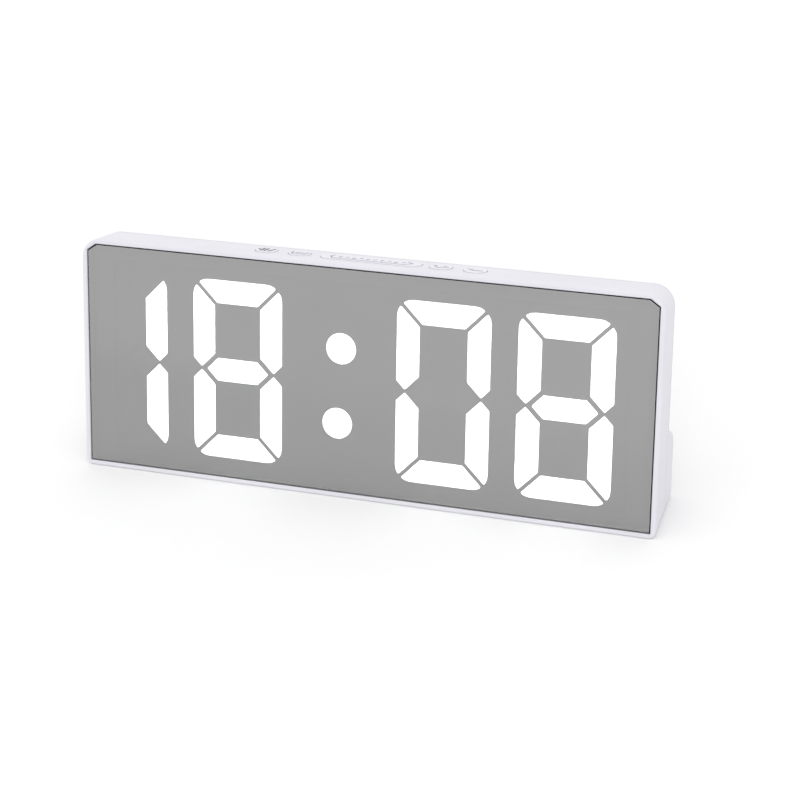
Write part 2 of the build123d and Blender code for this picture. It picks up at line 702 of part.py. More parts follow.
for name, (x, length) in KEYS.items():
    with BuildPart(CASE) as plunger:
        with Locations((x, SWITCH_DEPTH, PLUNGER_TOP - PLUNGER_LENGTH / 2)):
            Cylinder(PLUNGER_RADIUS, PLUNGER_LENGTH)
    save(plunger.part, f"plunger_{name}")

    with BuildPart() as key:
        with BuildSketch(level_at(TOP_INSIDE - 0.05)):
            with Locations((x, (KEY_FRONT + KEY_BACK) / 2)):
                RectangleRounded(length, KEY_DEPTH, KEY_DEPTH / 2 - 0.1)
        extrude(amount=WALL + 0.05 + KEY_PROUD)
        fillet([e for e in key.edges() if rise_of(e) > FACE_HEIGHT + KEY_PROUD - 0.01], KEY_FILLET)
        with BuildSketch(level_at(TOP_INSIDE - 0.05)):
            with Locations((x, (KEY_FRONT + FLANGE_BACK) / 2)):
                Rectangle(length + 2 * FLANGE_EXTRA, FLANGE_BACK - KEY_FRONT)
        extrude(amount=-FLANGE_THICKNESS)
        with BuildSketch(level_at(PLUNGER_TOP + 0.02)):
            with Locations((x, SWITCH_DEPTH)):
                Rectangle(2.2, 2.2)
        extrude(amount=TOP_INSIDE - 0.05 - FLANGE_THICKNESS - PLUNGER_TOP)
    save(key.part, f"key_{name}")

# ---- battery cells and their contacts ----
for number in range(3):
    tip = CONTACT_THICKNESS - BAY_HALF + number * CELL_PITCH
    with BuildPart() as cell:
        with BuildSketch(side_at(tip + NIB_HEIGHT)):
            with Locations((CELL_DEPTH, CELL_RISE)):
                Circle(CELL_RADIUS)
        extrude(amount=CELL_LENGTH - NIB_HEIGHT)
        fillet(cell.edges().filter_by(GeomType.CIRCLE), 0.5)
        with BuildSketch(side_at(tip)):
            with Locations((CELL_DEPTH, CELL_RISE)):
                Circle(NIB_RADIUS)
        extrude(amount=NIB_HEIGHT + 0.3)
    save(cell.part, f"battery_cell_{number + 1}")


def contact(side):
    """A contact blade against one end of the bay, with its tab through the end wall."""
    with BuildPart(CASE) as blade:
        with Locations((side * (BAY_HALF - CONTACT_THICKNESS / 2), CELL_DEPTH, CELL_RISE)):
            Box(CONTACT_THICKNESS, BLADE_DEPTH, BLADE_HEIGHT)
        with Locations((side * (BAY_HALF - 0.2 + TAB_END) / 2, LEAD_DEPTH, LEAD_RISE)):
            Box(TAB_END - BAY_HALF + 0.2, 0.4, 1.2)
    return blade.part


with BuildPart() as contact_plate:
    add(contact(-1))
save(contact_plate.part, "contact_plate")

with BuildPart() as contact_spring:
    add(contact(1))
    spring_foot = HEEL + BACK * CELL_DEPTH + UP * CELL_RISE + Vector(SPRING_START, 0, 0)
    spring_height = BAY_HALF - CONTACT_THICKNESS - SPRING_WIRE - 0.02 - SPRING_START
    with BuildLine() as coil:
        Helix(SPRING_PITCH, spring_height, SPRING_RADIUS, center=spring_foot, direction=(1, 0, 0))
    with BuildSketch(Plane(origin=coil.line @ 0, z_dir=coil.line % 0)):
        Circle(SPRING_WIRE)
    sweep(path=coil.line)
save(contact_spring.part, "contact_spring")


def lead(side):
    """A lead from a contact's tab up to its pad on the board."""
    route = [
        (side * TAB_END, LEAD_DEPTH, LEAD_RISE),
        (side * 74.8, LEAD_DEPTH, LEAD_RISE),
        (side * 74.8, LEAD_DEPTH, 23.5),
        (side * 71.0, LEAD_DEPTH, LEAD_PAD_RISE),
        (side * 67.5, LEAD_DEPTH, LEAD_PAD_RISE),
        (side * LEAD_PAD_X, BOARD_BACK + 0.45, LEAD_PAD_RISE),
    ]
    corners = [HEEL + Vector(x, 0, 0) + BACK * depth + UP * rise for x, depth, rise in route]
    runs = [after - before for before, after in zip(corners, corners[1:])]
    radii = [
        0.45 * min(first.length, second.length) / tan(radians(first.get_angle(second)) / 2)
        for first, second in zip(runs, runs[1:])
    ]
    with BuildPart() as wire:
        with BuildLine() as path:
            FilletPolyline(*corners, radius=radii)
        with BuildSketch(Plane(origin=path.line @ 0, z_dir=path.line % 0)):
            Circle(LEAD_RADIUS)
        sweep(path=path.line)
    return wire.part


for side, colour in ((-1, "red"), (1, "black")):
    with BuildPart() as battery_lead:
        add(lead(side))
    save(battery_lead.part, f"battery_lead_{colour}")

# ---- screws ----


def screw_set(places, seat, radius, length, head_radius, head_height):
    """Pan-head screws driven in from the back, with a cross recess."""
    with BuildPart() as screws:
        with BuildSketch(face_at(seat)):
            with Locations(*places):
                Circle(head_radius)
        extrude(amount=-head_height)
        fillet([e for e in screws.edges() if depth_of(e) > seat + head_height - 0.01], head_height * 0.4)
        with BuildSketch(face_at(seat + head_height)):
            with Locations(*places):
                Rectangle(1.3 * head_radius, 0.25 * head_radius)
                Rectangle(0.25 * head_radius, 1.3 * head_radius)
        extrude(amount=0.6 * head_height, mode=Mode.SUBTRACT)
        with BuildSketch(face_at(seat)):
            with Locations(*places):
                Circle(radius)
        extrude(amount=length)
    return screws.part


with BuildPart() as cover_screws:
    add(screw_set(four_corners(), SCREW_SEAT, SCREW_RADIUS, SCREW_LENGTH, HEAD_RADIUS, HEAD_HEIGHT))
save(cover_screws.part, "cover_screws")

with BuildPart() as board_screws:
    add(screw_set(BOARD_SCREW_PLACES, BOARD_BACK + 0.01, BOARD_SCREW_RADIUS, 3.4, 1.5, 0.9))
save(board_screws.part, "board_screws")
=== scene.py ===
# %% [markdown]
# # A mirror-faced LED clock, finished in Blender
#
# The clock comes from the CAD as a fixed frame: a white case that leans back on its sloped
# underside, a half-mirror panel, and everything behind it. This lesson leaves the shapes that are
# right alone, gives every piece a finish built from nodes, and adds what a mould or a printer adds:
# softened mirror edges, printed key marks, solder, lamp domes and a printed battery jacket.

# %% Load the fixed frame
import json
from math import cos, degrees, radians, sin

import bmesh
import bpy
from mathutils import Matrix, Vector


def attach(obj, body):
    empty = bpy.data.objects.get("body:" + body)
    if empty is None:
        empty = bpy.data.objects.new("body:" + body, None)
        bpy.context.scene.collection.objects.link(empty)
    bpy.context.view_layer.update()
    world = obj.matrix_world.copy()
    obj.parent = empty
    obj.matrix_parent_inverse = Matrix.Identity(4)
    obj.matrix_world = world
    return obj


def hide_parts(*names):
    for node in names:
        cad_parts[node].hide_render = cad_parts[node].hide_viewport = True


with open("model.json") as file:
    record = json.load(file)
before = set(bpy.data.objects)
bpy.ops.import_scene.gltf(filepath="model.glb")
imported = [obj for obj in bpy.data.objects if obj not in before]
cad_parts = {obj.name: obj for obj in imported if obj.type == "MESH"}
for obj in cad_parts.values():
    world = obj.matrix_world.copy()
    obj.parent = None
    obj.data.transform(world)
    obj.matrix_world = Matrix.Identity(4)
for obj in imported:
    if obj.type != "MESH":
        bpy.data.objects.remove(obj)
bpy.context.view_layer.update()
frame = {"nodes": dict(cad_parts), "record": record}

# %% [markdown]
# ## Directions of the leaning case
#
# Almost everything on the clock is square to its face, and the face leans. So the lesson measures
# and builds along the case's own directions: across, straight back from the face, and up the face.
# A key is pressed straight down the face, so the key's joint already says which way is up.

# %% The case's own axes
MM = 0.001
press = next(j for j in frame["record"]["behaviour"]["joints"] if j["name"] == "snooze_press")
ACROSS = Vector((1, 0, 0))
UP = -Vector(press["axis"]).normalized()
BACK = UP.cross(ACROSS)
CASE = Matrix((ACROSS, BACK, UP)).transposed()


def reach(node, way):
    """How far a node reaches along a direction: its lowest and highest distance, in metres."""
    steps = [v.co.dot(way) for v in frame["nodes"][node].data.vertices]
    return min(steps), max(steps)


def middle(node):
    """The middle of a node's reach along the case's three directions."""
    return Vector([sum(reach(node, way)) / 2 for way in (ACROSS, BACK, UP)])


lean = 90 - degrees(BACK.angle(Vector((0, 0, -1))))
print("the face leans back", round(lean, 2), "degrees")

# %% [markdown]
# ## Camera, floor and light
#
# The camera stands to the right of the clock and above it, with a long lens, so the case keeps
# nearly parallel sides. The floor is a plain pale sheet. A bright, even sky does most of the work:
# the half mirror faces the horizon, so its upper part shows the sky and its lower part the slightly
# darker floor, and that alone gives it a slow shading from light to dark. A large soft lamp
# overhead adds a faint shadow, and one behind the camera fills the front. The plain "Standard" view
# transform is used because it keeps white paper white.

# %% Camera
CAMERA_PLACE = Vector((217.4, -479.4, 348.3)) * MM
CAMERA_TURN = (58.215, 5.081, 20.201)      # degrees
FOCAL_LENGTH = 105.54                      # millimetres, as lenses are always given
NEAREST_SEEN = 0.01

lens = bpy.data.cameras.new("camera")
lens.lens = FOCAL_LENGTH
lens.clip_start = NEAREST_SEEN
camera = bpy.data.objects.new("camera", lens)
camera.location = CAMERA_PLACE
camera.rotation_euler = [radians(turn) for turn in CAMERA_TURN]
bpy.context.collection.objects.link(camera)
bpy.context.scene.camera = camera
bpy.context.scene.view_settings.view_transform = "Standard"
print("camera stands", round(camera.location.length, 3), "m away")

# %% Floor
FLOOR_HALF = 6.0


def mesh_object(name, mesh):
    """Links a mesh to the scene as a new object at the origin."""
    made = bpy.data.objects.new(name, mesh)
    bpy.context.collection.objects.link(made)
    return made


floor_mesh = bpy.data.meshes.new("floor")
corners = [(-1, -1), (1, -1), (1, 1), (-1, 1)]
floor_points = [(x * FLOOR_HALF, y * FLOOR_HALF, 0) for x, y in corners]
floor_mesh.from_pydata(floor_points, [], [(0, 1, 2, 3)])
floor = mesh_object("floor", floor_mesh)
print("floor:", 2 * FLOOR_HALF, "m square")

# %% Light
SKY_STRENGTH = 1.15
world = bpy.data.worlds.new("sky")
world.use_nodes = True
sky = world.node_tree.nodes["Background"].inputs
sky["Color"].default_value = (1.0, 1.0, 1.0, 1)
sky["Strength"].default_value = SKY_STRENGTH
bpy.context.scene.world = world


def soft_lamp(name, place, size, power):
    """A square softbox aimed at the clock: place and size in metres, power in watts."""
    lamp = bpy.data.lights.new(name, "AREA")
    lamp.size = size
    lamp.energy = power
    lamp_object = bpy.data.objects.new(name, lamp)
    lamp_object.location = place
    lamp_object.rotation_euler = (-Vector(place)).to_track_quat("-Z", "Y").to_euler()
    bpy.context.collection.objects.link(lamp_object)


soft_lamp("overhead softbox", place=(-0.25, 0.1, 1.3), size=1.1, power=1.2)
soft_lamp("front softbox", place=(0.45, -1.0, 0.75), size=0.7, power=2.4)
print("two softboxes and a pale sky")

# %% [markdown]
# ## Small tools for building node trees
#
# A finish is a tree of nodes. A few small tools keep the cells below short. They add a node and set
# or link its inputs by name, add a sum or a colour mix, and start or place an effect group. An effect
# that several finishes share is built once as a group and then placed in each with its own values.

# %% Adding nodes
def put(tree, kind, settings=None, **inputs):
    """Adds a node. settings are its own properties; inputs are values or sockets, by input name."""
    made = tree.nodes.new(kind)
    for name, value in (settings or {}).items():
        setattr(made, name, value)
    for name, value in inputs.items():
        connect(tree, made.inputs[name.replace("_", " ")], value)
    return made


def connect(tree, target, value):
    """Links a socket to target, or sets target to a plain value."""
    if isinstance(value, bpy.types.NodeSocket):
        tree.links.new(value, target)
    else:
        target.default_value = value


def sum_of(tree, operation, *terms):
    """One Math node: its answer as a socket."""
    made = tree.nodes.new("ShaderNodeMath")
    made.operation = operation
    for target, value in zip(made.inputs, terms):
        connect(tree, target, value)
    return made.outputs[0]


def blend_of(tree, mask, first, second):
    """A colour mix: first where the mask is 0, second where it is 1."""
    made = tree.nodes.new("ShaderNodeMix")
    made.data_type = "RGBA"
    connect(tree, made.inputs["Factor"], mask)
    connect(tree, made.inputs["A"], first)
    connect(tree, made.inputs["B"], second)
    return made.outputs["Result"]


print("tools:", ", ".join(tool.__name__ for tool in (put, connect, sum_of, blend_of)))

# %% Starting an effect group
FLOAT, COLOR, VECTOR = "NodeSocketFloat", "NodeSocketColor", "NodeSocketVector"


def effect_group(name, takes, gives):
    """A shader group with named inputs, given as (name, type, value), and named outputs."""
    group = bpy.data.node_groups.new(name, "ShaderNodeTree")
    group.interface.new_socket("Vector", in_out="INPUT", socket_type=VECTOR)
    for title, kind, value in takes:
        taken = group.interface.new_socket(title, in_out="INPUT", socket_type=kind)
        taken.default_value = value
    for title, kind in gives:
        group.interface.new_socket(title, in_out="OUTPUT", socket_type=kind)
    entry = group.nodes.new("NodeGroupInput")
    leave = group.nodes.new("NodeGroupOutput")
    return group, entry.outputs, leave.inputs


def place_group(tree, group, **inputs):
    """Puts an effect group in a tree, reads it on Object coordinates and gives back its outputs."""
    made = tree.nodes.new("ShaderNodeGroup")
    made.node_tree = group
    coordinates = tree.nodes.new("ShaderNodeTexCoord")
    tree.links.new(coordinates.outputs["Object"], made.inputs["Vector"])
    for name, value in inputs.items():
        connect(tree, made.inputs[name.replace("_", " ")], value)
    return made.outputs


print("tools:", effect_group.__name__ + ",", place_group.__name__)

# %% [markdown]
# ## Effect: moulded grain
#
# A steel mould is spark-eroded or blasted, and the plastic copies its fine grain. Close up, that is a
# soft pebble of a few tenths of a millimetre; further off it only makes the gloss uneven. Two
# noises do both: a fine one gives the height, and its sum with a slow one makes the roughness wander.

# %% Moulded grain
MM_IN_METRE = 1000.0     # a noise's scale counts its spots in a metre
DRIFT_SCALE = 45.0

grain_group, entry, leave = effect_group(
    "moulded grain",
    [("Grain Size", FLOAT, 0.4), ("Roughness", FLOAT, 0.45), ("Roughness Spread", FLOAT, 0.1)],
    [("Roughness", FLOAT), ("Height", FLOAT), ("Grain", FLOAT)],
)
fine_scale = sum_of(grain_group, "DIVIDE", MM_IN_METRE, entry["Grain Size"])
where = entry["Vector"]
pebble = put(grain_group, "ShaderNodeTexNoise", Vector=where, Scale=fine_scale, Detail=3.0)
drift = put(grain_group, "ShaderNodeTexNoise", Vector=where, Scale=DRIFT_SCALE, Detail=4.0)
both = sum_of(grain_group, "ADD", pebble.outputs["Fac"], drift.outputs["Fac"])
sway = sum_of(grain_group, "SUBTRACT", both, 1.0)
rough = sum_of(grain_group, "MULTIPLY_ADD", sway, entry["Roughness Spread"], entry["Roughness"])
connect(grain_group, leave["Roughness"], rough)
connect(grain_group, leave["Height"], pebble.outputs["Fac"])
connect(grain_group, leave["Grain"], drift.outputs["Fac"])
print("effect:", grain_group.name)

# %% [markdown]
# ## Effect: settled dust
#
# Dust lands on what faces up, and more in some places than in others. The surface's own normal says
# how much it faces up, and a noise breaks the film into patches and specks.

# %% Settled dust
WHITE = (1, 1, 1, 1)
HOUSE_DUST = (0.55, 0.53, 0.5, 1)

dust_group, entry, leave = effect_group(
    "settled dust",
    [("Color", COLOR, WHITE), ("Dust Color", COLOR, HOUSE_DUST), ("Amount", FLOAT, 0.1)],
    [("Color", COLOR), ("Mask", FLOAT)],
)
facing = put(dust_group, "ShaderNodeNewGeometry")
heights = put(dust_group, "ShaderNodeSeparateXYZ", Vector=facing.outputs["Normal"])
upward = sum_of(dust_group, "MAXIMUM", heights.outputs["Z"], 0.0)
patches = put(
    dust_group, "ShaderNodeTexNoise",
    Vector=entry["Vector"], Scale=160.0, Detail=8.0, Roughness=0.7,
)
broken = put(
    dust_group, "ShaderNodeMapRange",
    Value=patches.outputs["Fac"], From_Min=0.42, From_Max=0.72,
)
settles = sum_of(dust_group, "POWER", upward, 2.0)
film = sum_of(dust_group, "MULTIPLY", settles, broken.outputs["Result"])
mask = sum_of(dust_group, "MULTIPLY", film, entry["Amount"])
dusted = blend_of(dust_group, mask, entry["Color"], entry["Dust Color"])
connect(dust_group, leave["Color"], dusted)
connect(dust_group, leave["Mask"], mask)
print("effect:", dust_group.name)

# %% [markdown]
# ## Effect: uneven tone
#
# No moulded or painted surface has one exact colour. Pigment flows, hands leave a slightly warmer
# film, and light ages it unevenly. A slow noise turns one colour into a near neighbour.

# %% Uneven tone
tone_group, entry, leave = effect_group(
    "uneven tone",
    [("Color", COLOR, WHITE), ("Other Color", COLOR, WHITE), ("Patch Size", FLOAT, 20.0)],
    [("Color", COLOR)],
)
patch_scale = sum_of(tone_group, "DIVIDE", MM_IN_METRE, entry["Patch Size"])
cloud = put(
    tone_group, "ShaderNodeTexNoise", Vector=entry["Vector"], Scale=patch_scale, Detail=5.0
)
firm = put(
    tone_group, "ShaderNodeMapRange", Value=cloud.outputs["Fac"], From_Min=0.3, From_Max=0.7
)
two_tone = blend_of(tone_group, firm.outputs["Result"], entry["Color"], entry["Other Color"])
connect(tone_group, leave["Color"], two_tone)
print("effect:", tone_group.name)

# %% [markdown]
# ## Effect: a band across a piece
#
# Jacket bands, tinned ends and printed stripes all lie between two planes. The place of a point along
# a direction is a dot product, and two soft steps make a mask that is 1 only between the planes.

# %% Band across a piece
band_group, entry, leave = effect_group(
    "band across",
    [
        ("Direction", VECTOR, (1, 0, 0)), ("From", FLOAT, 0.0), ("To", FLOAT, 1.0),
        ("Softness", FLOAT, 0.00005),
    ],
    [("Mask", FLOAT)],
)
along = put(band_group, "ShaderNodeVectorMath", {"operation": "DOT_PRODUCT"})
connect(band_group, along.inputs[0], entry["Vector"])
connect(band_group, along.inputs[1], entry["Direction"])
distance = along.outputs["Value"]
from_start = sum_of(band_group, "SUBTRACT", distance, entry["From"])
to_end = sum_of(band_group, "SUBTRACT", entry["To"], distance)
past_start = sum_of(band_group, "DIVIDE", from_start, entry["Softness"])
before_end = sum_of(band_group, "DIVIDE", to_end, entry["Softness"])
inside = sum_of(band_group, "MINIMUM", past_start, before_end)
clipped = put(band_group, "ShaderNodeClamp", Value=inside)
connect(band_group, leave["Mask"], clipped.outputs["Result"])
print("effect:", band_group.name)

# %% [markdown]
# ## Effect: rolled metal
#
# Sheet steel and drawn cans carry fine lines from rolling and drawing. Stretching a noise along one
# direction makes lines; a second, round noise adds the cloudiness of plating. With no stretch the
# lines become a fine round grain, which suits screw heads and solder.

# %% Rolled metal
PLAIN_METAL = (0.7, 0.7, 0.7, 1)
TARNISH = (0.42, 0.4, 0.37, 1)
MOST_TARNISH = 0.35
LINE_SCALE = 9000.0
CLOUD_SCALE = 700.0
LINE_ROUGHNESS = 0.16

metal_group, entry, leave = effect_group(
    "rolled metal",
    [
        ("Color", COLOR, PLAIN_METAL), ("Roughness", FLOAT, 0.28),
        ("Stretch", VECTOR, (0.05, 1, 1)),
    ],
    [("Color", COLOR), ("Roughness", FLOAT), ("Height", FLOAT)],
)
stretched = put(metal_group, "ShaderNodeVectorMath", {"operation": "MULTIPLY"})
connect(metal_group, stretched.inputs[0], entry["Vector"])
connect(metal_group, stretched.inputs[1], entry["Stretch"])
lines = put(
    metal_group, "ShaderNodeTexNoise",
    Vector=stretched.outputs["Vector"], Scale=LINE_SCALE, Detail=2.0,
)
clouds = put(
    metal_group, "ShaderNodeTexNoise", Vector=entry["Vector"], Scale=CLOUD_SCALE, Detail=4.0
)
tarnish = put(
    metal_group, "ShaderNodeMapRange",
    Value=clouds.outputs["Fac"], To_Min=0.0, To_Max=MOST_TARNISH,
)
darker = blend_of(metal_group, tarnish.outputs["Result"], entry["Color"], TARNISH)
connect(metal_group, leave["Color"], darker)
rough = sum_of(
    metal_group, "MULTIPLY_ADD", lines.outputs["Fac"], LINE_ROUGHNESS, entry["Roughness"]
)
connect(metal_group, leave["Roughness"], rough)
connect(metal_group, leave["Height"], lines.outputs["Fac"])
print("effect:", metal_group.name)

# %% [markdown]
# ## Moulded plastics
#
# Most of the clock is moulded plastic, so one function makes them all from their own colours, grain
# size, gloss and dust. The case is white with a breath of lilac and a satin grain; the keys are the
# same white, a little glossier from being pressed; most of the parts inside are black.

# %% A moulded plastic
PLASTIC_PATCH = 26.0
DUST_ROUGHNESS = 0.3


def start_finish(name):
    """A new material with its tree and its shader's inputs."""
    made = bpy.data.materials.new(name)
    made.use_nodes = True
    return made, made.node_tree, made.node_tree.nodes["Principled BSDF"].inputs


def bump(tree, shader, height, depth):
    """Turns a height into a surface bump, depth in metres."""
    made = put(tree, "ShaderNodeBump", Height=height, Distance=depth, Strength=1.0)
    tree.links.new(made.outputs["Normal"], shader["Normal"])


def moulded_plastic(name, colors, grain, depth, roughness, spread, dust):
    """A moulded plastic: two near colours, grain size in mm and depth in metres, gloss and dust."""
    made, tree, shader = start_finish(name)
    tone = place_group(
        tree, tone_group, Color=colors[0], Other_Color=colors[1], Patch_Size=PLASTIC_PATCH
    )
    grains = place_group(
        tree, grain_group, Grain_Size=grain, Roughness=roughness, Roughness_Spread=spread
    )
    dusty = place_group(tree, dust_group, Color=tone["Color"], Amount=dust)
    rough = sum_of(tree, "MULTIPLY_ADD", dusty["Mask"], DUST_ROUGHNESS, grains["Roughness"])
    connect(tree, shader["Base Color"], dusty["Color"])
    connect(tree, shader["Roughness"], rough)
    bump(tree, shader, grains["Height"], depth)
    return made


def finish(material, *names):
    """Gives a material to every slot of the named CAD nodes."""
    for name in names:
        for slot in frame["nodes"][name].material_slots:
            slot.material = material
    print(material.name, "on", len(names), "nodes")


print("tools:", moulded_plastic.__name__ + ",", finish.__name__)

# %% The white case and its keys
SHELL_WHITE = ((0.66, 0.652, 0.702, 1), (0.635, 0.627, 0.675, 1))
KEY_WHITE = ((0.67, 0.662, 0.712, 1), (0.645, 0.637, 0.685, 1))
KEYS = ("mode", "set", "snooze", "up", "down")

white_shell = moulded_plastic(
    "satin white plastic", SHELL_WHITE,
    grain=0.32, depth=0.000006, roughness=0.42, spread=0.10, dust=0.10,
)
white_key = moulded_plastic(
    "polished white plastic", KEY_WHITE,
    grain=0.6, depth=0.000002, roughness=0.30, spread=0.08, dust=0.06,
)
finish(white_shell, "front_frame", "rear_cover", "battery_door")
finish(white_key, *["key_" + name for name in KEYS])

# %% Plastics inside the case
BLACK = ((0.014, 0.014, 0.016, 1), (0.02, 0.02, 0.021, 1))
NEAR_BLACK = ((0.028, 0.028, 0.03, 1), (0.036, 0.035, 0.034, 1))
BROWN = ((0.10, 0.055, 0.03, 1), (0.13, 0.07, 0.04, 1))
SMOKE = ((0.034, 0.034, 0.036, 1), (0.045, 0.045, 0.046, 1))

light_block = moulded_plastic(
    "matt black light block", BLACK,
    grain=0.25, depth=0.000008, roughness=0.62, spread=0.12, dust=0.05,
)
black_plastic = moulded_plastic(
    "black housing plastic", NEAR_BLACK,
    grain=0.2, depth=0.000004, roughness=0.45, spread=0.12, dust=0.08,
)
plunger_plastic = moulded_plastic(
    "brown plunger plastic", BROWN,
    grain=0.3, depth=0.000003, roughness=0.4, spread=0.1, dust=0.05,
)
dark_diffuser = moulded_plastic(
    "unlit smoke diffuser", SMOKE,
    grain=0.15, depth=0.000003, roughness=0.5, spread=0.06, dust=0.0,
)
finish(light_block, "reflector_frame")
finish(black_plastic, "switch_bodies", "buzzer", "usb_tongue")
finish(plunger_plastic, *["plunger_" + name for name in KEYS])
finish(dark_diffuser, "digit_segments_dark")

# %% [markdown]
# ## Lit diffusers
#
# Behind each shown segment two small lamps light a pocket, and a milky sheet in front spreads
# their light. Modelling that spread would be slow and noisy, so the sheet itself gives the light. It
# is a shade weaker away from the lamps, which a slow noise stands for.

# %% Lit diffusers
LIT_STRENGTH = 4.0
COOL_WHITE = (0.93, 0.95, 1.0, 1)

lit_diffuser, tree, shader = start_finish("lit milky diffuser")
tone = place_group(tree, tone_group, Color=WHITE, Other_Color=COOL_WHITE, Patch_Size=7.0)
grains = place_group(tree, grain_group, Grain_Size=0.15, Roughness=0.5, Roughness_Spread=0.06)
connect(tree, shader["Base Color"], tone["Color"])
connect(tree, shader["Emission Color"], tone["Color"])
connect(tree, shader["Roughness"], grains["Roughness"])
shader["Emission Strength"].default_value = LIT_STRENGTH
bump(tree, shader, grains["Height"], 0.000003)
finish(lit_diffuser, "digit_segments_lit", "colon_dots")

# %% [markdown]
# ## The half mirror
#
# The panel is a clear sheet with a metal film so thin that a third of the light passes. A true film
# would need glass with a coating inside it. Here the front face is a smooth metal that lets part of
# the light straight through, which reads the same and stays clean at few samples. On the back a
# black border is printed, which hides the ledge and the posts round the display. The sheet's cut
# edges are near-black: partly they show that print, and partly they are painted shade that darkens
# the thin line in the gap round the mirror. The CAD panel has knife-sharp edges, so a copy of it is
# merged and its edges are rounded a little before it takes the panel's place. Four cuts in its back
# face part the border from the clear window.

# %% Mirror finishes
MIRROR_GREY = (0.50, 0.503, 0.50, 1)
SMEARED_GREY = (0.48, 0.483, 0.48, 1)
PALE_DUST = (0.62, 0.61, 0.6, 1)
MIRROR_COVER = 0.62
BACK_COVER = 0.12

mirror_front, tree, shader = start_finish("half mirror film")
smears = place_group(
    tree, tone_group, Color=MIRROR_GREY, Other_Color=SMEARED_GREY, Patch_Size=48.0
)
grains = place_group(tree, grain_group, Grain_Size=1.6, Roughness=0.17, Roughness_Spread=0.05)
dusty = place_group(
    tree, dust_group, Color=smears["Color"], Dust_Color=PALE_DUST, Amount=0.25
)
connect(tree, shader["Base Color"], dusty["Color"])
connect(tree, shader["Roughness"], grains["Roughness"])
shader["Metallic"].default_value = 1.0
shader["Alpha"].default_value = MIRROR_COVER
bump(tree, shader, grains["Grain"], 0.0000015)

mirror_back = moulded_plastic(
    "mirror back coat", SMOKE,
    grain=0.3, depth=0.000001, roughness=0.3, spread=0.05, dust=0.0,
)
mirror_back.node_tree.nodes["Principled BSDF"].inputs["Alpha"].default_value = BACK_COVER
# Near-black cut edges: partly the border print seen through them, partly painted shade for the gap
# round the mirror.
mirror_edge_and_gap_shade = moulded_plastic(
    "smoked cut edge and painted gap shade", NEAR_BLACK,
    grain=0.12, depth=0.000006, roughness=0.25, spread=0.1, dust=0.1,
)
print("mirror lets through", round((1 - MIRROR_COVER) * (1 - BACK_COVER), 2))

# %% Mirror panel with softened edges
EDGE_ROUND = 0.15 * MM
EDGE_STEPS = 3
BORDER_SIDE = 6.9 * MM
BORDER_TOP = 3.9 * MM
WELD = 0.002 * MM
FLAT_ANGLE, RIM_ANGLE, CRISP_ANGLE = 1.0, 60, 50
FACES_BACK, FACES_FRONT = 0.9, -0.5      # how far a face's normal runs along BACK


def merged_copy(node):
    """A copy of a CAD node's mesh with its loose triangles joined, as an open bmesh."""
    work = bmesh.new()
    work.from_mesh(frame["nodes"][node].data)
    bmesh.ops.remove_doubles(work, verts=work.verts, dist=WELD)
    return work


def shade_by_angle(mesh, angle):
    """Smooth shading that stays crisp where faces meet at more than the angle."""
    mesh.shade_smooth()
    mesh.set_sharp_from_angle(angle=radians(angle))


work = merged_copy("mirror_panel")
bmesh.ops.dissolve_limit(
    work, angle_limit=radians(FLAT_ANGLE), verts=work.verts, edges=work.edges
)
rims = [e for e in work.edges if e.calc_face_angle(0) > radians(RIM_ANGLE)]
bmesh.ops.bevel(
    work, geom=rims, offset=EDGE_ROUND, segments=EDGE_STEPS, profile=0.5, affect="EDGES"
)
work.normal_update()
glass_middle = middle("mirror_panel")
window_side = reach("mirror_panel", ACROSS)[1] - BORDER_SIDE
window_top = reach("mirror_panel", UP)[1] - BORDER_TOP
for way, side, edge in ((ACROSS, 0, window_side), (UP, 2, window_top)):
    for sign in (-1, 1):
        back_faces = [f for f in work.faces if f.normal.dot(BACK) > FACES_BACK]
        pieces = back_faces + list({e for f in back_faces for e in f.edges})
        pieces += list({v for f in back_faces for v in f.verts})
        cut_point = way * (glass_middle[side] + sign * (edge - glass_middle[side]))
        bmesh.ops.bisect_plane(work, geom=pieces, plane_co=cut_point, plane_no=way)
panel_mesh = bpy.data.meshes.new("mirror glass")
work.to_mesh(panel_mesh)
work.free()

FRONT_SLOT, EDGE_SLOT, WINDOW_SLOT = 0, 1, 2
for material in (mirror_front, mirror_edge_and_gap_shade, mirror_back):
    panel_mesh.materials.append(material)
for polygon in panel_mesh.polygons:
    turn = polygon.normal.dot(BACK)
    off_side = abs(polygon.center.dot(ACROSS) - glass_middle[0])
    off_middle = abs(polygon.center.dot(UP) - glass_middle[2])
    beside = off_side > window_side - glass_middle[0]
    above = off_middle > window_top - glass_middle[2]
    polygon.material_index = EDGE_SLOT
    if turn < FACES_FRONT:
        polygon.material_index = FRONT_SLOT
    elif turn > FACES_BACK and not beside and not above:
        polygon.material_index = WINDOW_SLOT
shade_by_angle(panel_mesh, CRISP_ANGLE)
panel = mesh_object("mirror_glass", panel_mesh)
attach(panel, "root")
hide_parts("mirror_panel")
print("mirror panel:", len(panel_mesh.polygons), "faces")

# %% Tape behind the mirror
FOAM = ((0.012, 0.012, 0.012, 1), (0.022, 0.022, 0.022, 1))
foam_tape = moulded_plastic(
    "black foam tape", FOAM,
    grain=0.18, depth=0.00003, roughness=0.9, spread=0.05, dust=0.0,
)
finish(foam_tape, "mirror_tape")

# %% [markdown]
# ## Metals
#
# The screws are zinc-plated, the contacts and the inlet's shell are tinned or nickel-plated sheet.
# The sheet and the drawn can show fine lines along the way they were worked, and the screws don't.
# One function makes them all, and each gets its own colour, gloss and line direction.

# %% Plated metals
ZINC = (0.62, 0.64, 0.67, 1)
TIN = (0.72, 0.71, 0.69, 1)


